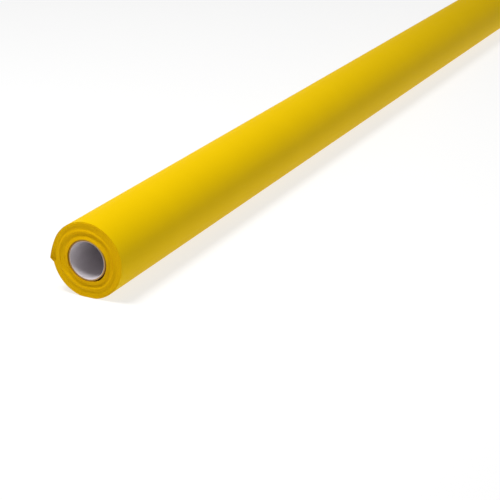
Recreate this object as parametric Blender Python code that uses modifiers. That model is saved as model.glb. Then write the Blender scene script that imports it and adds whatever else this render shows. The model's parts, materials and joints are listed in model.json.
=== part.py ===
"""A roll of self-adhesive sign vinyl.

A spiral-wound board core, lined with white paper, carries one long web, which is a face film on a
release liner. The web is held to the core by a strip of double-sided tape and is wound with the film
outwards. Its free end comes over the top, stands a little proud on the +Y side and can be lifted.

The roll lies along X, and the origin is the middle of the flat that it rests on. A winding angle is
measured from +Y downwards round the roll, in the direction in which the web is wound, and goes on past
360 degrees from one turn to the next.
"""

import math

import bpy

COLLECTION_NAME = "sign_vinyl_roll"

# The roll, in metres and degrees.
ROLL_LENGTH = 1.370
ROLL_RADIUS = 0.0390
REST_FLAT_DEPTH = 0.0008
REST_ANGLE = 90.0

# The core.
BORE_RADIUS = 0.01905
LINING_THICKNESS = 0.00030
BOARD_THICKNESS = 0.00050
COVER_THICKNESS = 0.00025
CORE_SHIFT_ANGLE = -50.0

# The start tape.
TAPE_THICKNESS = 0.0002
TAPE_START_ANGLE = 28.0
TAPE_ANGLE = 34.0
TAPE_END_MARGIN = 0.010

# The wound web. Each turn between the first and the last stands for many turns of the real web.
TURNS = 6
THIN_PLY = 0.00035
WEB_START_ANGLE = 25.0
CLIMB_ANGLE = 41.0

# The free end of the web.
HINGE_ANGLE = -25.0
TIP_ANGLE = 6.8
TIP_LIFT = 0.0033

# Clearances and facets.
GAP = 0.0003
FACET_ANGLE = 5.0
TUBE_FACETS = 72
MERGE_DISTANCE = 0.00001

# Sizes that follow. The core lies against one side of the web, which leaves room for the tape on the other.
LINING_OUTER = BORE_RADIUS + LINING_THICKNESS
BOARD_INNER = LINING_OUTER + GAP
BOARD_OUTER = BOARD_INNER + BOARD_THICKNESS
COVER_INNER = BOARD_OUTER + GAP
CORE_RADIUS = COVER_INNER + COVER_THICKNESS
SHIFT_AT_TAPE = math.cos(math.radians(TAPE_START_ANGLE - CORE_SHIFT_ANGLE))
CORE_LOOSENESS = (TAPE_THICKNESS + GAP * (2 - SHIFT_AT_TAPE)) / (1 - SHIFT_AT_TAPE)
CORE_SHIFT = CORE_LOOSENESS - GAP
WEB_INNER_RADIUS = CORE_RADIUS + CORE_LOOSENESS
AXIS_HEIGHT = ROLL_RADIUS - REST_FLAT_DEPTH
WEB_END_ANGLE = 360.0 * TURNS + HINGE_ANGLE
TAIL_START_ANGLE = WEB_END_ANGLE + math.degrees(GAP / ROLL_RADIUS)
TAIL_END_ANGLE = 360.0 * TURNS + TIP_ANGLE
THIN_PITCH = 2 * (THIN_PLY + GAP)
THICK_PITCH = (ROLL_RADIUS + GAP - WEB_INNER_RADIUS - 2 * THIN_PITCH) / (TURNS - 2)

YELLOW_FILM = (0.86, 0.64, 0.004)
AMBER_LINER = (0.72, 0.50, 0.03)
WHITE_PAPER = (0.78, 0.76, 0.76)
BROWN_BOARD = (0.42, 0.26, 0.085)
KRAFT_PAPER = (0.40, 0.27, 0.15)
CLEAR_TAPE = (0.80, 0.74, 0.55)


def clear_scene():
    for obj in list(bpy.data.objects):
        bpy.data.objects.remove(obj, do_unlink=True)


def make_material(name, color, roughness):
    material = bpy.data.materials.new(name)
    material.use_nodes = True
    shader = material.node_tree.nodes["Principled BSDF"]
    shader.inputs["Base Color"].default_value = (*color, 1.0)
    shader.inputs["Roughness"].default_value = roughness
    shader.inputs["Metallic"].default_value = 0.0
    return material


def add_empty(name, location, collection):
    empty = bpy.data.objects.new(name, None)
    empty.location = location
    empty.empty_display_size = ROLL_RADIUS
    collection.objects.link(empty)
    return empty


def smooth_step(share):
    share = min(max(share, 0.0), 1.0)
    return share * share * (3.0 - 2.0 * share)


def between(values, place):
    """The value at a place between whole numbers of a list."""
    low = min(int(place), len(values) - 2)
    return values[low] + (values[low + 1] - values[low]) * (place - low)


def turn_pitches():
    """How far each turn moves the next one out: thin for the first and the last, thick between."""
    return [THIN_PITCH] + [THICK_PITCH] * (TURNS - 2) + [THIN_PITCH]


def turn_radii():
    """The inner radius of each turn."""
    radii = [WEB_INNER_RADIUS]
    for pitch in turn_pitches()[:-1]:
        radii.append(radii[-1] + pitch)
    return radii


def turns_climbed(angle):
    """The turn that the web is in. It climbs to the next over the end of the one below it."""
    climbed = 0.0
    for turn in range(TURNS - 1):
        share = turn / (TURNS - 2)
        first_climb = WEB_START_ANGLE - CLIMB_ANGLE
        climb_start = first_climb + (HINGE_ANGLE - first_climb) * share
        climbed += smooth_step((angle - 360.0 * (turn + 1) - climb_start) / CLIMB_ANGLE)
    return climbed


def settled(radius, angle):
    """The radius after the roll has settled on its own weight, which flattens it where it rests."""
    from_rest = math.radians(angle - REST_ANGLE)
    toward_rest = math.cos(from_rest)
    if toward_rest * ROLL_RADIUS <= AXIS_HEIGHT:
        return radius
    depth_in_web = (radius - WEB_INNER_RADIUS) / (ROLL_RADIUS - WEB_INNER_RADIUS)
    return radius - (ROLL_RADIUS - AXIS_HEIGHT / toward_rest) * depth_in_web


def tail_lift(angle):
    """How far the free end stands off the turn below it."""
    share = (angle - WEB_END_ANGLE) / (TAIL_END_ANGLE - WEB_END_ANGLE)
    return TIP_LIFT * max(share, 0.0) ** 2


def liner_radii(angle):
    """The inner and outer radius of the release liner."""
    turn = turns_climbed(angle)
    inner = between(turn_radii(), turn) + tail_lift(angle)
    ply = between(turn_pitches(), turn) / 2 - GAP
    return inner, inner + ply


def film_radii(angle):
    """The inner and outer radius of the face film, which lies on the liner."""
    turn = turns_climbed(angle)
    ply = between(turn_pitches(), turn) / 2 - GAP
    inner = liner_radii(angle)[1] + GAP
    return inner, inner + ply


def cross_section_point(radius, angle):
    """A point of the roll's cross-section, as Y and Z from the roll's axis."""
    turned = math.radians(angle)
    return radius * math.cos(turned), -radius * math.sin(turned)


def facet_angles(start, end):
    """The two ends, and every whole facet between them, so that the facets of all the turns line up."""
    first = math.floor(start / FACET_ANGLE) + 1
    last = math.ceil(end / FACET_ANGLE) - 1
    return [start] + [FACET_ANGLE * step for step in range(first, last + 1)] + [end]


def ply_outline(radii, start, end):
    """The closed outline of a wound ply: out along its outer side and back along its inner side."""
    outer = []
    inner = []
    for angle in facet_angles(start, end):
        inner_radius, outer_radius = radii(angle)
        outer.append(cross_section_point(settled(outer_radius, angle), angle))
        inner.append(cross_section_point(settled(inner_radius, angle), angle))
    return outer + inner[::-1]


def add_extrusion(name, outline, length, parent, location, material, collection):
    """A flat outline in Y and Z, drawn out along X."""
    curve = bpy.data.curves.new(name, "CURVE")
    curve.dimensions = "2D"
    curve.fill_mode = "BOTH"
    curve.extrude = length / 2
    spline = curve.splines.new("POLY")
    spline.points.add(len(outline) - 1)
    for point, (y, z) in zip(spline.points, outline):
        point.co = (y, z, 0.0, 1.0)
    spline.use_cyclic_u = True
    curve.materials.append(material)
    obj = bpy.data.objects.new(name, curve)
    obj.rotation_euler = (math.pi / 2, 0.0, math.pi / 2)
    obj.location = location
    obj.parent = parent
    collection.objects.link(obj)
    return obj


def add_tube(name, inner, outer, parent, material, collection):
    """A turned tube as long as the roll, from a rectangular profile."""
    half = ROLL_LENGTH / 2
    corners = [(outer, 0.0, half), (outer, 0.0, -half), (inner, 0.0, -half), (inner, 0.0, half)]
    mesh = bpy.data.meshes.new(name)
    mesh.from_pydata(corners, [(0, 1), (1, 2), (2, 3), (3, 0)], [])
    mesh.materials.append(material)
    obj = bpy.data.objects.new(name, mesh)
    obj.rotation_euler = (0.0, math.pi / 2, 0.0)
    obj.parent = parent
    collection.objects.link(obj)
    turn = obj.modifiers.new("Turn", "SCREW")
    turn.axis = "Z"
    turn.steps = TUBE_FACETS
    turn.render_steps = TUBE_FACETS
    turn.use_merge_vertices = True
    turn.merge_threshold = MERGE_DISTANCE
    turn.use_smooth_shade = True
    return obj


def add_core(roll_axis, collection):
    """The board tube between its white lining and its kraft cover, lying a little off centre inside the web."""
    y, z = cross_section_point(CORE_SHIFT, CORE_SHIFT_ANGLE)
    core_axis = add_empty("core_axis", (0.0, y, z), collection)
    core_axis.parent = roll_axis
    lining = make_material("white_lining_paper", WHITE_PAPER, 0.80)
    board = make_material("brown_core_board", BROWN_BOARD, 0.90)
    cover = make_material("kraft_cover_paper", KRAFT_PAPER, 0.85)
    add_tube("core_lining_ply", BORE_RADIUS, LINING_OUTER, core_axis, lining, collection)
    add_tube("core_board_ply", BOARD_INNER, BOARD_OUTER, core_axis, board, collection)
    add_tube("core_cover_ply", COVER_INNER, CORE_RADIUS, core_axis, cover, collection)
    return core_axis


def add_start_tape(core_axis, collection):
    """The strip between the core and the first turn. It is curved round the core, not round the roll."""
    tape_inner = CORE_RADIUS + GAP
    angles = facet_angles(TAPE_START_ANGLE, TAPE_START_ANGLE + TAPE_ANGLE)
    outer = [cross_section_point(tape_inner + TAPE_THICKNESS, angle) for angle in angles]
    inner = [cross_section_point(tape_inner, angle) for angle in angles]
    length = ROLL_LENGTH - 2 * TAPE_END_MARGIN
    material = make_material("clear_start_tape", CLEAR_TAPE, 0.40)
    add_extrusion("start_tape", outer + inner[::-1], length, core_axis, (0, 0, 0), material, collection)


def add_web(roll_axis, collection):
    """The film and the liner: their wound turns, and their free ends on the hinge line."""
    hinge_y, hinge_z = cross_section_point(ROLL_RADIUS, HINGE_ANGLE)
    tail_hinge = add_empty("tail_hinge", (0.0, hinge_y, hinge_z), collection)
    tail_hinge.parent = roll_axis
    from_hinge = (0.0, -hinge_y, -hinge_z)
    film = make_material("yellow_vinyl_film", YELLOW_FILM, 0.45)
    liner = make_material("amber_release_liner", AMBER_LINER, 0.50)
    plies = (("face_film", film_radii, film), ("release_liner", liner_radii, liner))
    for name, radii, material in plies:
        wound = ply_outline(radii, WEB_START_ANGLE, WEB_END_ANGLE)
        add_extrusion(name, wound, ROLL_LENGTH, roll_axis, (0, 0, 0), material, collection)
        free = ply_outline(radii, TAIL_START_ANGLE, TAIL_END_ANGLE)
        add_extrusion(name + "_free_end", free, ROLL_LENGTH, tail_hinge, from_hinge, material, collection)


def build_roll():
    clear_scene()
    collection = bpy.data.collections.new(COLLECTION_NAME)
    bpy.context.scene.collection.children.link(collection)
    roll_axis = add_empty("roll_axis", (0.0, 0.0, AXIS_HEIGHT), collection)
    core_axis = add_core(roll_axis, collection)
    add_start_tape(core_axis, collection)
    add_web(roll_axis, collection)


build_roll()
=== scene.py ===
# %% [markdown]
# # A roll of sign vinyl
# Self-adhesive sign vinyl is a thin PVC film on a release liner, about a quarter of a millimetre together. It is
# wound on a paper core, and a roll is sold and stored on that core. This lesson builds the roll as it is really
# built: one very long web, wound turn on turn by Geometry Nodes, on a core of three paper plies, with the free end of
# the web standing a little proud.
#
# The first cell loads the fixed frame, which gives every size and place below. The frame's own box is kept.

# %% The frame
import json
import math

import bmesh
import bpy
from mathutils import Matrix, Vector, noise


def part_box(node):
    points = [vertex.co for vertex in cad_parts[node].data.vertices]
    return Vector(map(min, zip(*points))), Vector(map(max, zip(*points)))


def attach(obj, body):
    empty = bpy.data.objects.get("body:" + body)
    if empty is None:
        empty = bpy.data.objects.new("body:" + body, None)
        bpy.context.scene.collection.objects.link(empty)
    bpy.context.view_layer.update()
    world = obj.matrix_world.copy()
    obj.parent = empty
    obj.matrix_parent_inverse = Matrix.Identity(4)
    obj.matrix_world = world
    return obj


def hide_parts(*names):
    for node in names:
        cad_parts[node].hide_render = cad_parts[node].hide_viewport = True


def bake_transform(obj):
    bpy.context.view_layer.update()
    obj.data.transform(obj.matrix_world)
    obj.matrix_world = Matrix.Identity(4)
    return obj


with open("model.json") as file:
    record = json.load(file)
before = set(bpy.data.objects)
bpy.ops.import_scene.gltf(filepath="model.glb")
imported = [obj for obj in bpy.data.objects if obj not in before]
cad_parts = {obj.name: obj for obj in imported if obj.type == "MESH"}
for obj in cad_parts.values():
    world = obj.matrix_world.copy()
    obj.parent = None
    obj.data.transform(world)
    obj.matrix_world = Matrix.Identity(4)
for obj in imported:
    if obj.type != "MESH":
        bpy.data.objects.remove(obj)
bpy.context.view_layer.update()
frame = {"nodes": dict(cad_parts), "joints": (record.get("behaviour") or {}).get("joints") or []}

# %% [markdown]
# ## Sizes
# The roll lies along X and rests on the floor at Z = 0. A winding angle is counted from +Y downwards round the roll,
# the way the web is wound, and it goes on past one full turn, so that one number says where on the whole web a point
# is. The frame gives the roll's radius, the height of its axis, the core and the line where the free end lifts.
# The thicknesses are the real ones of a calendered film and its liner. The core lies a little loose in the web, and
# has settled in it by half a millimetre from its place in the frame.

# %% Sizes
film_low, film_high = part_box("face_film")
ROLL_LENGTH = film_high.x - film_low.x
ROLL_RADIUS = -film_low.y
AXIS_HEIGHT = film_high.z - ROLL_RADIUS

lift_joint = frame["joints"][0]
HINGE_POINT = Vector(lift_joint["pos_m"])
HINGE_ANGLE = -math.atan2(HINGE_POINT.z - AXIS_HEIGHT, HINGE_POINT.y)
TIP_ANGLE = math.radians(6.8)
TIP_LIFT = 0.0033

FILM_THICKNESS = 0.000105
LINER_THICKNESS = 0.000135
WEB_THICKNESS = FILM_THICKNESS + LINER_THICKNESS
LINING_THICKNESS = 0.0003
COVER_THICKNESS = 0.00025
ROOM_FOR_TAPE = 0.00093


def outer_radius(node):
    """The radius of a tube along X, from its box."""
    low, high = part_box(node)
    return (high.y - low.y) / 2


cover_low, cover_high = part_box("core_cover_ply")
CORE_SETTLED = Vector((0.0, -0.00035, -0.00035))
CORE_AXIS = Vector((0.0, (cover_low.y + cover_high.y) / 2, (cover_low.z + cover_high.z) / 2)) + CORE_SETTLED
CORE_RADIUS = outer_radius("core_cover_ply")
LINING_RADIUS = outer_radius("core_lining_ply")
BOARD_RADIUS = CORE_RADIUS - COVER_THICKNESS
BORE_RADIUS = LINING_RADIUS - LINING_THICKNESS
WEB_INNER_RADIUS = CORE_RADIUS + ROOM_FOR_TAPE
print(f"roll {ROLL_LENGTH * 1000:.0f} mm long and {ROLL_RADIUS * 2000:.1f} mm across, "
      f"bore {BORE_RADIUS * 2000:.1f} mm, hinge at {math.degrees(HINGE_ANGLE):.1f} degrees")

# %% [markdown]
# ## The length of the web
# The number of turns follows from the sizes: the room between the core and the outside, over the thickness of the
# web. The pitch is then made exact, so that the outside of the last turn is the roll's radius where the free end
# begins. The length of a spiral is its mean radius times its angle.

# %% Turns
TURN = 2 * math.pi  # One whole turn, in radians.
WEB_START = math.radians(25.0)
whole_turns = int((ROLL_RADIUS - WEB_INNER_RADIUS) / WEB_THICKNESS - 1)
HINGE_TURNED = TURN * whole_turns + HINGE_ANGLE
TIP_TURNED = TURN * whole_turns + TIP_ANGLE
PITCH = (ROLL_RADIUS - WEB_THICKNESS - WEB_INNER_RADIUS) * TURN / (HINGE_TURNED - WEB_START)

# %% [markdown]
# ## The camera
# The camera stands in front of the near end, to its right and above it, and looks down along the roll, which runs out
# of the frame. It comes first, because everything after it is judged through it. It is placed by its distance from
# the middle of the near end face, and its long lens keeps the two sides of the roll nearly parallel.

# %% Camera
NEAR_END = Vector((-ROLL_LENGTH / 2, 0.0, AXIS_HEIGHT))
CAMERA_OFFSET = Vector((-25.52, -17.24, 12.72)) * ROLL_RADIUS
CAMERA_RIGHT = Vector((0.44828, -0.89389, 0.0))
CAMERA_UP = Vector((0.33713, 0.16907, 0.92615))
SENSOR_MM = 36.0
LENS_MM = 97.88
NEAREST_SEEN = 0.05

camera_data = bpy.data.cameras.new("camera")
camera_data.sensor_width = SENSOR_MM
camera_data.lens = LENS_MM
camera_data.clip_start = NEAREST_SEEN
camera = bpy.data.objects.new("camera", camera_data)
back = CAMERA_RIGHT.cross(CAMERA_UP)
turned = Matrix((CAMERA_RIGHT, CAMERA_UP, back)).transposed()
camera.matrix_world = Matrix.Translation(NEAR_END + CAMERA_OFFSET) @ turned.to_4x4()
bpy.context.scene.collection.objects.link(camera)
bpy.context.scene.camera = camera
print("camera at", [round(value, 3) for value in camera.location])

# %% [markdown]
# ## Helpers for nodes, colours and pieces
# Geometry Nodes and materials are both trees of nodes. One small function adds a node, sets it and links what goes
# into it: an input is either a plain value or the output of another node. Colours are written as the sRGB hex values
# that a painter would read off, and one function turns them linear, as the renderer needs. Two more start a material
# and turn a finished mesh into a piece, since every material and every piece begins and ends in the same way.

# %% Helpers
MATH = "ShaderNodeMath"
MILLIMETRE = 0.001
SHARP_ANGLE = math.radians(40.0)


def add_node(tree, kind, settings=None, inputs=None):
    """A node of that kind, its settings, and for each input a value or another node's output."""
    node = tree.nodes.new(kind)
    for name, value in (settings or {}).items():
        setattr(node, name, value)
    for key, value in (inputs or {}).items():
        if isinstance(value, bpy.types.NodeSocket):
            tree.links.new(value, node.inputs[key])
        else:
            node.inputs[key].default_value = value
    return node


def srgb(code):
    """A hex colour as linear red, green, blue and alpha."""
    shares = [int(code[i : i + 2], 16) / 255 for i in (1, 3, 5)]
    return (*[s / 12.92 if s <= 0.04045 else ((s + 0.055) / 1.055) ** 2.4 for s in shares], 1.0)


def blank_material(name):
    """A new material, its node tree and the shader in it."""
    material = bpy.data.materials.new(name)
    material.use_nodes = True
    tree = material.node_tree
    return material, tree, tree.nodes["Principled BSDF"]


def as_piece(name, mesh):
    """An object with this mesh, shaded smooth but for its real corners."""
    mesh.shade_smooth()
    mesh.set_sharp_from_angle(angle=SHARP_ANGLE)
    piece = bpy.data.objects.new(name, mesh)
    bpy.context.scene.collection.objects.link(piece)
    return piece


print("half grey is", round(srgb("#808080")[0], 3), "of white in linear light")


# %% [markdown]
# ## Material: calendered PVC film
# Sign film is soft PVC rolled out between hot cylinders, pigmented right through, with a matt satin face. The eye
# sees a deep, even yellow with a broad, weak sheen. Close up there is a fine orange-peel from the rollers. Along a
# roll there are faint bands, where the film is a few thousandths of a millimetre thicker and winds up harder.
# The peel is drawn 2 mm across, coarser than the real 0.5 mm, so that it can be seen at all.

# %% Film material
ROUND_THE_ROLL = (1.0, 0.03, 0.03)  # Changes along X and hardly at all round it, which draws the bands.


def calendered_film():
    material, tree, shader = blank_material("calendered_pvc_film_yellow")
    place = add_node(tree, "ShaderNodeTexCoord").outputs["Object"]

    along = add_node(tree, "ShaderNodeMapping", {"vector_type": "POINT"}, {"Vector": place, "Scale": ROUND_THE_ROLL})
    bands = add_node(tree, "ShaderNodeTexNoise", {"noise_dimensions": "3D"},
                     {"Vector": along.outputs[0], "Scale": 1 / (60 * MILLIMETRE), "Detail": 3.0, "Roughness": 0.6})
    peel = add_node(tree, "ShaderNodeTexNoise", {"noise_dimensions": "3D"},
                    {"Vector": place, "Scale": 1 / (2.0 * MILLIMETRE), "Detail": 3.0, "Roughness": 0.55})
    tint = add_node(tree, "ShaderNodeMix", {"data_type": "RGBA"},
                    {"Factor": bands.outputs["Fac"], "A": srgb("#E0B900"), "B": srgb("#E6BF00")})
    matt = add_node(tree, "ShaderNodeMapRange", None,
                    {"Value": peel.outputs["Fac"], "To Min": 0.50, "To Max": 0.60})
    banded = add_node(tree, "ShaderNodeBump", None,
                      {"Height": bands.outputs["Fac"], "Strength": 0.5, "Distance": 0.25 * MILLIMETRE})
    peeled = add_node(tree, "ShaderNodeBump", None,
                      {"Height": peel.outputs["Fac"], "Strength": 0.25, "Distance": 0.1 * MILLIMETRE,
                       "Normal": banded.outputs[0]})
    tree.links.new(tint.outputs["Result"], shader.inputs["Base Color"])
    tree.links.new(matt.outputs[0], shader.inputs["Roughness"])
    tree.links.new(peeled.outputs[0], shader.inputs["Normal"])
    shader.inputs["IOR"].default_value = 1.53
    shader.inputs["Specular IOR Level"].default_value = 0.02
    return material


film_material = calendered_film()
print("made", film_material.name)

# %% [markdown]
# ## Material: glassine release liner
# The liner is a dense, smooth paper with a silicone face, here an amber one close to the film's own colour. On the
# roll only its cut edges and the inside of the free end show. Paper fibres make it cloudy, a few millimetres across,
# and a cut edge scatters more than the face, so it is kept rougher than the film.

# %% Liner material
def glassine_liner():
    material, tree, shader = blank_material("glassine_release_liner_amber")
    place = add_node(tree, "ShaderNodeTexCoord").outputs["Object"]
    cloud = add_node(tree, "ShaderNodeTexNoise", {"noise_dimensions": "3D"},
                     {"Vector": place, "Scale": 1 / (4 * MILLIMETRE), "Detail": 5.0, "Roughness": 0.65})
    tint = add_node(tree, "ShaderNodeMix", {"data_type": "RGBA"},
                    {"Factor": cloud.outputs["Fac"], "A": srgb("#CA9200"), "B": srgb("#DAA408")})
    fibre = add_node(tree, "ShaderNodeBump", None,
                     {"Height": cloud.outputs["Fac"], "Strength": 0.3, "Distance": 0.05 * MILLIMETRE})
    tree.links.new(tint.outputs["Result"], shader.inputs["Base Color"])
    tree.links.new(fibre.outputs[0], shader.inputs["Normal"])
    shader.inputs["Roughness"].default_value = 0.62
    shader.inputs["IOR"].default_value = 1.47
    shader.inputs["Specular IOR Level"].default_value = 0.02
    return material


liner_material = glassine_liner()
print("made", liner_material.name)

# %% [markdown]
# ## The wound web
# This is the main piece, and its whole shape follows one rule, so Geometry Nodes make it. The tree starts with a
# flat strip: a box with many cuts along its length. Set Position then winds it up. The strip's length becomes the
# winding angle, its thickness becomes radius and its width lies along X.
#
# Four things keep it from being a mathematical spiral. The first turns follow the start tape and the web's own
# leading edge, close to the core in one place and off it in another. The roll has settled, so it is flat where it
# rests. The free end stands proud, and the last turns have sprung loose and fill the space under it. And the turns
# don't line up at the ends: they telescope, some groups standing proud of others, which is what draws the rings on
# the end face. A Float Curve holds that ring profile, from the core to the outside, and another lets the rings drift
# outwards on the way round, as they do when the web wandered on its way to the winder.
#
# Film and liner are the same strip with another thickness and another place in the web, so one tree makes both.

# %% Inputs and profiles
WEB_INPUTS = (
    ("Width", "NodeSocketFloat"),
    ("Web Shift", "NodeSocketFloat"),
    ("Inner Radius", "NodeSocketFloat"),
    ("Roll Radius", "NodeSocketFloat"),
    ("Axis Height", "NodeSocketFloat"),
    ("Pitch", "NodeSocketFloat"),
    ("Web Start", "NodeSocketFloat"),
    ("Tip Turned", "NodeSocketFloat"),
    ("Hinge Share", "NodeSocketFloat"),
    ("Tip Share", "NodeSocketFloat"),
    ("Tip Lift", "NodeSocketFloat"),
    ("Sprung Turns", "NodeSocketFloat"),
    ("Start Lift", "NodeSocketFloat"),
    ("Ring Drift", "NodeSocketFloat"),
    ("Ply Offset", "NodeSocketFloat"),
    ("Ply Thickness", "NodeSocketFloat"),
    ("From Angle", "NodeSocketFloat"),
    ("To Angle", "NodeSocketFloat"),
    ("Cuts", "NodeSocketInt"),
    ("Ring Relief", "NodeSocketFloat"),
    ("Ragged Edge", "NodeSocketFloat"),
    ("Material", "NodeSocketMaterial"),
)
# Share of the way from the core to the outside, and how proud the turns stand there, 0.5 being level.
RING_PROFILE = ((0.0, 0.97), (0.06, 0.88), (0.15, 0.58), (0.24, 0.31), (0.29, 0.31), (0.36, 0.50), (0.45, 0.78),
                (0.485, 0.75), (0.56, 0.52), (0.62, 0.43), (0.70, 0.46), (0.82, 0.51), (1.0, 0.49))
# The next two follow the angle, as shares of a turn from half a turn before +Y: where the first turns stand off the
# core and where they are drawn down to it, 0.5 being level, and how far the rings drift outwards on the way round.
START_LIFT_PROFILE = ((0.0, 0.96), (0.07, 0.82), (0.15, 0.45), (0.25, 0.32), (0.35, 0.14), (0.44, 0.08), (0.465, 0.30),
                      (0.51, 0.18), (0.545, 0.22), (0.578, 0.36), (0.62, 0.28), (0.672, 0.18), (0.74, 0.12),
                      (0.785, 0.20), (0.83, 0.66), (0.90, 0.92), (1.0, 0.96))
RING_DRIFT_PROFILE = ((0.0, 0.0), (0.17, 0.0), (0.33, 0.4), (0.42, 0.65), (0.53, 1.0), (0.60, 0.5), (0.67, 0.0),
                      (1.0, 0.0))
print("profiles of", len(RING_PROFILE), len(START_LIFT_PROFILE), "and", len(RING_DRIFT_PROFILE), "points")

# %% The tree that winds a strip
HALF = 0.5  # Of the unit box that a strip starts as, of a turn, or of the way from the core to the outside.
LEVEL = 0.5  # The height on a profile that means neither proud nor sunk.
LEAST_DOWNWARD = 0.5  # Keeps the distance to the floor finite away from the bottom of the roll.
FLAT_SOFTNESS = 0.0008  # How gently the flat runs into the round.
TIP_FALL_SHARE = 5.0 / 360.0  # The share of a turn over which the bulge falls away past the tip.
WANDER_ROUND, WANDER_THROUGH = 0.8, 6.0  # How fast the web's wandering changes on the way round and outwards.
WANDER_SHARE = 0.4  # Its size, as a share of the rings' relief.
RAGGED_PER_TURN = 3.1  # How fast each turn's own raggedness changes.
WANDER_SIDE, RAGGED_SIDE = 7.0, 40.0  # How far apart the two ends of the roll read their noise.


def set_curve(node, points):
    """Gives a Float Curve node these points."""
    curve = node.mapping.curves[0]
    for number, (x, y) in enumerate(points):
        if number < 2:
            curve.points[number].location = (x, y)
        else:
            curve.points.new(x, y)
    node.mapping.update()


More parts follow.
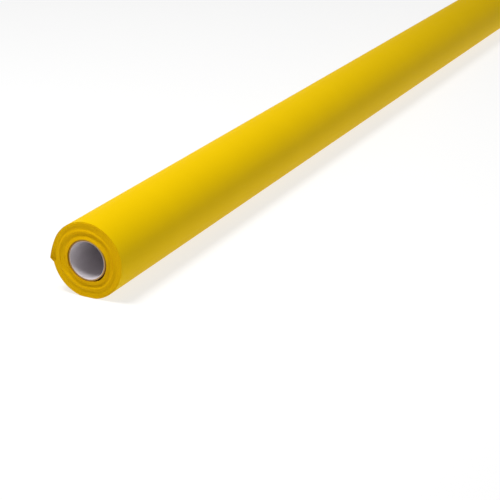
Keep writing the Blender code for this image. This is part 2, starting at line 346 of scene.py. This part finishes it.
def winding_tree():
    tree = bpy.data.node_groups.new("wind_a_strip", "GeometryNodeTree")
    for name, kind in WEB_INPUTS:
        tree.interface.new_socket(name, in_out="INPUT", socket_type=kind)
    tree.interface.new_socket("Geometry", in_out="OUTPUT", socket_type="NodeSocketGeometry")
    given = add_node(tree, "NodeGroupInput").outputs

    def calc(operation, *values):
        return add_node(tree, MATH, {"operation": operation}, dict(enumerate(values))).outputs[0]

    strip = add_node(tree, "GeometryNodeMeshCube", None,
                     {"Size": (1.0, 1.0, 1.0), "Vertices X": 2, "Vertices Y": given["Cuts"], "Vertices Z": 2})
    flat = add_node(tree, "ShaderNodeSeparateXYZ", None,
                    {"Vector": add_node(tree, "GeometryNodeInputPosition").outputs[0]}).outputs
    angle = add_node(tree, "ShaderNodeMapRange", {"clamp": False},
                     {"Value": flat["Y"], "From Min": -HALF, "From Max": HALF,
                      "To Min": given["From Angle"], "To Max": given["To Angle"]}).outputs[0]
    turns = calc("DIVIDE", calc("SUBTRACT", angle, given["Web Start"]), TURN)
    wound = calc("MULTIPLY_ADD", turns, given["Pitch"], given["Inner Radius"])
    in_ply = calc("MULTIPLY_ADD", calc("ADD", flat["Z"], HALF), given["Ply Thickness"], given["Ply Offset"])
    radius = calc("ADD", wound, in_ply)
    depth = add_node(tree, "ShaderNodeMapRange", None,
                     {"Value": radius, "From Min": given["Inner Radius"],
                      "From Max": given["Roll Radius"]}).outputs[0]

    # The roll is flat where it rests, and less so towards the core.
    downward = calc("MAXIMUM", calc("SINE", angle), LEAST_DOWNWARD)
    floor_radius = calc("DIVIDE", given["Axis Height"], downward)
    flattened = calc("SMOOTH_MIN", floor_radius, given["Roll Radius"], FLAT_SOFTNESS)
    sunk = calc("SUBTRACT", given["Roll Radius"], flattened)
    settled = calc("SUBTRACT", radius, calc("MULTIPLY", sunk, depth))

    # The first turns are drawn in or stand off as the core, the tape and the web's leading edge let them, and the
    # turns further out less and less.
    round_once = calc("FRACT", calc("MULTIPLY_ADD", angle, 1 / TURN, HALF))
    off_core = add_node(tree, "ShaderNodeFloatCurve", None, {"Value": round_once})
    set_curve(off_core, START_LIFT_PROFILE)
    near_core = calc("SUBTRACT", 1.0, depth)
    from_level = calc("MULTIPLY", calc("SUBTRACT", off_core.outputs[0], LEVEL), near_core)
    start_lift = calc("MULTIPLY", from_level, given["Start Lift"])

    # The free end stands proud, and the last turns have sprung loose under it, each a little less than the next.
    rising = add_node(tree, "ShaderNodeMapRange", None,
                      {"Value": round_once, "From Min": given["Hinge Share"],
                       "From Max": given["Tip Share"]}).outputs[0]
    past_tip = calc("ADD", given["Tip Share"], TIP_FALL_SHARE)
    falling = add_node(tree, "ShaderNodeMapRange", {"interpolation_type": "SMOOTHSTEP"},
                       {"Value": round_once, "From Min": given["Tip Share"], "From Max": past_tip,
                        "To Min": 1.0, "To Max": 0.0}).outputs[0]
    from_end = calc("DIVIDE", calc("SUBTRACT", given["Tip Turned"], angle), TURN)
    sprung = add_node(tree, "ShaderNodeMapRange", None,
                      {"Value": from_end, "From Min": 0.0, "From Max": given["Sprung Turns"],
                       "To Min": 1.0, "To Max": 0.0}).outputs[0]
    bulge = calc("MULTIPLY", calc("MULTIPLY", calc("POWER", rising, 2.0), falling), sprung)
    tip_lift = calc("MULTIPLY", bulge, given["Tip Lift"])
    final_radius = calc("ADD", calc("ADD", settled, start_lift), tip_lift)

    # The ends of the turns telescope, by the ring profile, the web's wandering and each turn's raggedness.
    drift = add_node(tree, "ShaderNodeFloatCurve", None, {"Value": round_once})
    set_curve(drift, RING_DRIFT_PROFILE)
    drifting = calc("MULTIPLY", drift.outputs[0], given["Ring Drift"])
    ring_at = calc("SUBTRACT", depth, calc("MULTIPLY", drifting, calc("PINGPONG", depth, HALF)))
    rings = add_node(tree, "ShaderNodeFloatCurve", None, {"Value": ring_at})
    set_curve(rings, RING_PROFILE)
    side = calc("SIGN", flat["X"])
    wander_at = add_node(tree, "ShaderNodeCombineXYZ", None,
                         {"X": calc("MULTIPLY", calc("COSINE", angle), WANDER_ROUND),
                          "Y": calc("MULTIPLY", calc("SINE", angle), WANDER_ROUND),
                          "Z": calc("MULTIPLY_ADD", depth, WANDER_THROUGH, calc("MULTIPLY", side, WANDER_SIDE))})
    wander = add_node(tree, "ShaderNodeTexNoise", {"noise_dimensions": "3D"},
                      {"Vector": wander_at.outputs[0], "Scale": 1.0, "Detail": 1.0}).outputs["Fac"]
    ragged_at = calc("MULTIPLY_ADD", turns, RAGGED_PER_TURN, calc("MULTIPLY", side, RAGGED_SIDE))
    ragged = add_node(tree, "ShaderNodeTexNoise", {"noise_dimensions": "1D"},
                      {"W": ragged_at, "Scale": 1.0, "Detail": 0.0}).outputs["Fac"]
    proud = calc("MULTIPLY", calc("SUBTRACT", rings.outputs[0], LEVEL), given["Ring Relief"])
    wandering = calc("SUBTRACT", wander, LEVEL)
    proud = calc("MULTIPLY_ADD", wandering, calc("MULTIPLY", given["Ring Relief"], WANDER_SHARE), proud)
    proud = calc("MULTIPLY_ADD", calc("SUBTRACT", ragged, LEVEL), given["Ragged Edge"], proud)
    across = calc("MULTIPLY_ADD", flat["X"], given["Width"], calc("MULTIPLY_ADD", proud, side, given["Web Shift"]))

    wound_place = add_node(tree, "ShaderNodeCombineXYZ", None,
                           {"X": across,
                            "Y": calc("MULTIPLY", final_radius, calc("COSINE", angle)),
                            "Z": calc("SUBTRACT", given["Axis Height"],
                                      calc("MULTIPLY", final_radius, calc("SINE", angle)))})
    wind = add_node(tree, "GeometryNodeSetPosition", None,
                    {"Geometry": strip.outputs["Mesh"], "Position": wound_place.outputs[0]})
    whole = add_node(tree, "GeometryNodeRealizeInstances", None, {"Geometry": wind.outputs[0]})
    coated = add_node(tree, "GeometryNodeSetMaterial", None,
                      {"Geometry": whole.outputs[0], "Material": given["Material"]})
    add_node(tree, "NodeGroupOutput", None, {"Geometry": coated.outputs[0]})
    return tree


web_tree = winding_tree()
print("the winding tree has", len(web_tree.nodes), "nodes and", len(WEB_INPUTS), "inputs")

# %% [markdown]
# ## Winding the film and the liner
# A modifier's inputs are set by the sockets' identifiers. The evaluated result is then made a plain mesh, which is
# what is kept. Each ply is made as two pieces that meet face to face: the wound turns, which stay with the roll, and
# the free end, which starts a little before the line where it lifts, so that the bend is inside the piece.

# %% Wind the plies
CUT_ANGLE = math.radians(2.5)
BEND_MARGIN = math.radians(6.0)
web_sizes = {
    "Width": ROLL_LENGTH,
    "Inner Radius": WEB_INNER_RADIUS,
    "Roll Radius": ROLL_RADIUS,
    "Axis Height": AXIS_HEIGHT,
    "Pitch": PITCH,
    "Web Start": WEB_START,
    "Tip Turned": TIP_TURNED,
    "Hinge Share": HINGE_ANGLE / TURN + HALF,
    "Tip Share": TIP_ANGLE / TURN + HALF,
    "Tip Lift": TIP_LIFT,
    "Sprung Turns": 14.0,
    "Start Lift": 0.0016,
    "Ring Drift": 0.26,
    "Web Shift": -0.0001,
    "Ring Relief": 0.0026,
    "Ragged Edge": 0.00020,
}


def plain_mesh(name, tree, values):
    """A piece with the tree's result as its own mesh."""
    maker = bpy.data.objects.new(name + "_maker", bpy.data.meshes.new(name + "_maker"))
    bpy.context.scene.collection.objects.link(maker)
    modifier = maker.modifiers.new("Wind", "NODES")
    modifier.node_group = tree
    identifiers = {item.name: item.identifier for item in tree.interface.items_tree if item.in_out == "INPUT"}
    for key, value in values.items():
        modifier[identifiers[key]] = value
    evaluated = maker.evaluated_get(bpy.context.evaluated_depsgraph_get())
    mesh = bpy.data.meshes.new_from_object(evaluated)
    bpy.data.objects.remove(maker)
    mesh.name = name
    return as_piece(name, mesh)


def wind_ply(name, material, offset, thickness, from_angle, to_angle):
    """One stretch of the film or of the liner."""
    cuts = round((to_angle - from_angle) / CUT_ANGLE) + 1
    piece = plain_mesh(name, web_tree, {**web_sizes, "Ply Offset": offset, "Ply Thickness": thickness,
                                        "From Angle": from_angle, "To Angle": to_angle, "Cuts": cuts,
                                        "Material": material})
    print(name, len(piece.data.polygons), "faces")
    return piece


FREE_FROM = HINGE_TURNED - BEND_MARGIN
wound_film = wind_ply("wound_film", film_material, LINER_THICKNESS, FILM_THICKNESS, WEB_START, FREE_FROM)
wound_liner = wind_ply("wound_liner", liner_material, 0.0, LINER_THICKNESS, WEB_START, FREE_FROM)
free_film = wind_ply("free_end_film", film_material, LINER_THICKNESS, FILM_THICKNESS, FREE_FROM, TIP_TURNED)
free_liner = wind_ply("free_end_liner", liner_material, 0.0, LINER_THICKNESS, FREE_FROM, TIP_TURNED)

# %% [markdown]
# ## The core
# A core is wound from paper strips glued into a tube: a white lining paper, a few plies of brown board and a kraft
# cover. Each is a turned ring here, spun from a small profile with softened corners. Its cut ends get a
# little roughness, because paper frays where the saw leaves it.

# %% Core plies
CORE_STEPS = 120
CORE_RINGS = 28
CORNER = 0.00006
FRAY = 0.00016
FRAYS_PER_METRE = 900
MERGED_WITHIN = 0.000001


def core_ply(name, inner, outer, material):
    """A turned tube round the core's axis, as long as the roll, with frayed ends."""
    half = ROLL_LENGTH / 2
    steps = [half * (2 * ring / CORE_RINGS - 1) for ring in range(1, CORE_RINGS)]
    outside = [(-half + CORNER, outer)] + [(x, outer) for x in steps] + [(half - CORNER, outer)]
    end = [(half, outer - CORNER), (half, inner + CORNER)]
    inside = [(half - CORNER, inner)] + [(x, inner) for x in reversed(steps)] + [(-half + CORNER, inner)]
    start = [(-half, inner + CORNER), (-half, outer - CORNER)]
    shape = bmesh.new()
    points = [shape.verts.new((x, radius, 0.0)) for x, radius in outside + end + inside + start]
    for a, b in zip(points, points[1:] + points[:1]):
        shape.edges.new((a, b))
    bmesh.ops.spin(shape, geom=shape.verts[:] + shape.edges[:], cent=(0, 0, 0), axis=(1, 0, 0),
                   angle=TURN, steps=CORE_STEPS, use_duplicate=False)
    bmesh.ops.remove_doubles(shape, verts=shape.verts, dist=MERGED_WITHIN)
    bmesh.ops.recalc_face_normals(shape, faces=shape.faces)
    for point in shape.verts:
        if abs(point.co.x) > half - 2 * CORNER:
            point.co.x += FRAY * noise.noise(point.co * FRAYS_PER_METRE) * math.copysign(1.0, point.co.x)
    bmesh.ops.translate(shape, verts=shape.verts, vec=CORE_AXIS)
    mesh = bpy.data.meshes.new(name)
    shape.to_mesh(mesh)
    shape.free()
    mesh.materials.append(material)
    print(name, len(mesh.polygons), "faces")
    return as_piece(name, mesh)


print("each ply has", CORE_STEPS, "steps round and", CORE_RINGS, "along")

# %% [markdown]
# ## Materials: lining paper, brown board, kraft and tape
# The lining is a bleached paper, white and quite matt, with the butt joint of its strip running round the bore as a
# helix. A helix is a straight line once the tube is unrolled, so the joint is drawn where the angle round the bore
# plus the way along it passes a whole number. The board is recycled brown stock in thin layers, and kraft is long
# brown fibres. At the end of the roll the two read as one thin brown line between the white bore and the yellow web.
# The tape is a clear film with a satin face.

# %% Paper materials
SEAM_PITCH = 0.118
SEAM_WIDTH = 0.0007


def bleached_lining():
    material, tree, shader = blank_material("bleached_lining_paper_white")
    place = add_node(tree, "ShaderNodeTexCoord").outputs["Object"]
    centred = add_node(tree, "ShaderNodeMapping", {"vector_type": "POINT"},
                       {"Vector": place, "Location": tuple(-CORE_AXIS)}).outputs[0]
    parts = add_node(tree, "ShaderNodeSeparateXYZ", None, {"Vector": centred}).outputs
    round_it = add_node(tree, MATH, {"operation": "ARCTAN2"}, {0: parts["Z"], 1: parts["Y"]}).outputs[0]
    turned = add_node(tree, MATH, {"operation": "DIVIDE"}, {0: round_it, 1: TURN}).outputs[0]
    helix = add_node(tree, MATH, {"operation": "MULTIPLY_ADD"},
                     {0: parts["X"], 1: 1 / SEAM_PITCH, 2: turned}).outputs[0]
    from_seam = add_node(tree, MATH, {"operation": "PINGPONG"}, {0: helix, 1: 0.5}).outputs[0]
    joint = add_node(tree, "ShaderNodeMapRange", None,
                     {"Value": from_seam, "From Max": SEAM_WIDTH / SEAM_PITCH, "To Min": 0.0, "To Max": 1.0})
    fibres = add_node(tree, "ShaderNodeTexNoise", {"noise_dimensions": "3D"},
                      {"Vector": place, "Scale": 1 / (1.2 * MILLIMETRE), "Detail": 6.0, "Roughness": 0.7})
    paper = add_node(tree, "ShaderNodeMix", {"data_type": "RGBA"},
                     {"Factor": fibres.outputs["Fac"], "A": srgb("#C8C1C6"), "B": srgb("#DAD4D9")})
    seamed = add_node(tree, "ShaderNodeMix", {"data_type": "RGBA"},
                      {"Factor": joint.outputs[0], "A": srgb("#9B9397"), "B": paper.outputs["Result"]})
    relief = add_node(tree, MATH, {"operation": "MULTIPLY_ADD"},
                      {0: fibres.outputs["Fac"], 1: 0.15, 2: joint.outputs[0]})
    bump = add_node(tree, "ShaderNodeBump", None,
                    {"Height": relief.outputs[0], "Strength": 0.6, "Distance": 0.15 * MILLIMETRE})
    tree.links.new(seamed.outputs["Result"], shader.inputs["Base Color"])
    tree.links.new(bump.outputs[0], shader.inputs["Normal"])
    shader.inputs["Roughness"].default_value = 0.85
    shader.inputs["IOR"].default_value = 1.45
    return material


def fibrous(name, dark, light, grain, roughness):
    """A paper, board or tape: two shades in a grain of that size, in metres."""
    material, tree, shader = blank_material(name)
    place = add_node(tree, "ShaderNodeTexCoord").outputs["Object"]
    fibres = add_node(tree, "ShaderNodeTexNoise", {"noise_dimensions": "3D"},
                      {"Vector": place, "Scale": 1 / grain, "Detail": 6.0, "Roughness": 0.7})
    tint = add_node(tree, "ShaderNodeMix", {"data_type": "RGBA"},
                    {"Factor": fibres.outputs["Fac"], "A": srgb(dark), "B": srgb(light)})
    bump = add_node(tree, "ShaderNodeBump", None,
                    {"Height": fibres.outputs["Fac"], "Strength": 0.5, "Distance": 0.1 * MILLIMETRE})
    tree.links.new(tint.outputs["Result"], shader.inputs["Base Color"])
    tree.links.new(bump.outputs[0], shader.inputs["Normal"])
    shader.inputs["Roughness"].default_value = roughness
    shader.inputs["IOR"].default_value = 1.45
    return material


board_material = fibrous("recycled_core_board_brown", "#A07C45", "#BE9A60", 0.8 * MILLIMETRE, 0.9)
kraft_material = fibrous("kraft_cover_paper_brown", "#9A7444", "#B58D58", 1.0 * MILLIMETRE, 0.85)
tape_material = fibrous("double_sided_tape_clear", "#D9CFB0", "#E6DFC6", 3.0 * MILLIMETRE, 0.35)
lining_material = bleached_lining()
print("made", [paper.name for paper in (lining_material, board_material, kraft_material, tape_material)])

# %% Make the core and dress the tape
core_lining = core_ply("core_lining", BORE_RADIUS, LINING_RADIUS, lining_material)
core_board = core_ply("core_board", LINING_RADIUS, BOARD_RADIUS, board_material)
core_cover = core_ply("core_cover", BOARD_RADIUS, CORE_RADIUS, kraft_material)

tape = frame["nodes"]["start_tape"]
tape.data.materials.clear()
tape.data.materials.append(tape_material)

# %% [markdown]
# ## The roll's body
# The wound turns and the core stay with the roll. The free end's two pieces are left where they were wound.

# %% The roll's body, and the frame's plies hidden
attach(wound_film, "roll")
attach(wound_liner, "roll")
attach(core_lining, "roll")
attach(core_board, "roll")
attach(core_cover, "roll")
for piece in (free_film, free_liner):
    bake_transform(piece)
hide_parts("face_film")
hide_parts("release_liner")
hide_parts("face_film_free_end")
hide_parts("release_liner_free_end")
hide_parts("core_lining_ply")
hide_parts("core_board_ply")
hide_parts("core_cover_ply")

# %% [markdown]
# ## Floor and light
# The roll lies on a pale studio floor that glows a little, as an opal table lit from below does: it stays nearly
# white to its far corners, its light fills the underside of the roll, and the shadow on it is faint. A sky as pale as
# the floor where they meet gives the even fill from above. One soft light high over the near end makes the top of the
# roll bright and lets the light fall off along its length.

# %% Floor
FLOOR_HALF = 60.0
WHITE = (1.0, 1.0, 1.0, 1.0)


def pale_floor():
    material, _, shader = blank_material("opal_table_lit_from_below")
    shader.inputs["Base Color"].default_value = srgb("#8C8C8C")
    shader.inputs["Roughness"].default_value = 0.9
    shader.inputs["Emission Color"].default_value = WHITE
    shader.inputs["Emission Strength"].default_value = 0.72
    return material


floor_shape = bmesh.new()
bmesh.ops.create_grid(floor_shape, x_segments=1, y_segments=1, size=FLOOR_HALF)
floor_mesh = bpy.data.meshes.new("floor")
floor_shape.to_mesh(floor_mesh)
floor_shape.free()
floor_mesh.materials.append(pale_floor())
floor = bpy.data.objects.new("floor", floor_mesh)
bpy.context.scene.collection.objects.link(floor)
print("floor", FLOOR_HALF * 2, "m wide")

# %% Sky
SKY_ABOVE = 0.28
SKY_AT_HORIZON = 0.80
HAZE_FROM = 0.07
HAZE_TO = 0.16


def pale_sky():
    """As pale as the floor where it meets it, and softer above."""
    world = bpy.data.worlds.new("pale_sky")
    world.use_nodes = True
    tree = world.node_tree
    direction = add_node(tree, "ShaderNodeTexCoord").outputs["Generated"]
    height = add_node(tree, "ShaderNodeSeparateXYZ", None, {"Vector": direction}).outputs["Z"]
    from_horizon = add_node(tree, MATH, {"operation": "ABSOLUTE"}, {0: height}).outputs[0]
    brightness = add_node(tree, "ShaderNodeMapRange", {"interpolation_type": "SMOOTHSTEP"},
                          {"Value": from_horizon, "From Min": HAZE_FROM, "From Max": HAZE_TO,
                           "To Min": SKY_AT_HORIZON, "To Max": SKY_ABOVE}).outputs[0]
    tree.nodes["Background"].inputs["Color"].default_value = WHITE
    tree.links.new(brightness, tree.nodes["Background"].inputs["Strength"])
    return world


bpy.context.scene.world = pale_sky()
print("sky made")

# %% Key light
KEY_PLACE = NEAR_END + Vector((-0.30, 0.30, 1.70))
KEY_TARGET = NEAR_END + Vector((0.90, 0.0, 0.0))
KEY_SIZE = 0.6
KEY_WATTS = 33.5

key_light = bpy.data.lights.new("key", "AREA")
key_light.size = KEY_SIZE
key_light.energy = KEY_WATTS
key_lamp = bpy.data.objects.new("key", key_light)
key_lamp.location = KEY_PLACE
key_lamp.rotation_euler = (KEY_TARGET - KEY_PLACE).to_track_quat("-Z", "Y").to_euler()
bpy.context.scene.collection.objects.link(key_lamp)
bpy.context.scene.view_settings.view_transform = "Standard"
print("key light", round((KEY_TARGET - KEY_PLACE).length, 2), "m from what it points at")
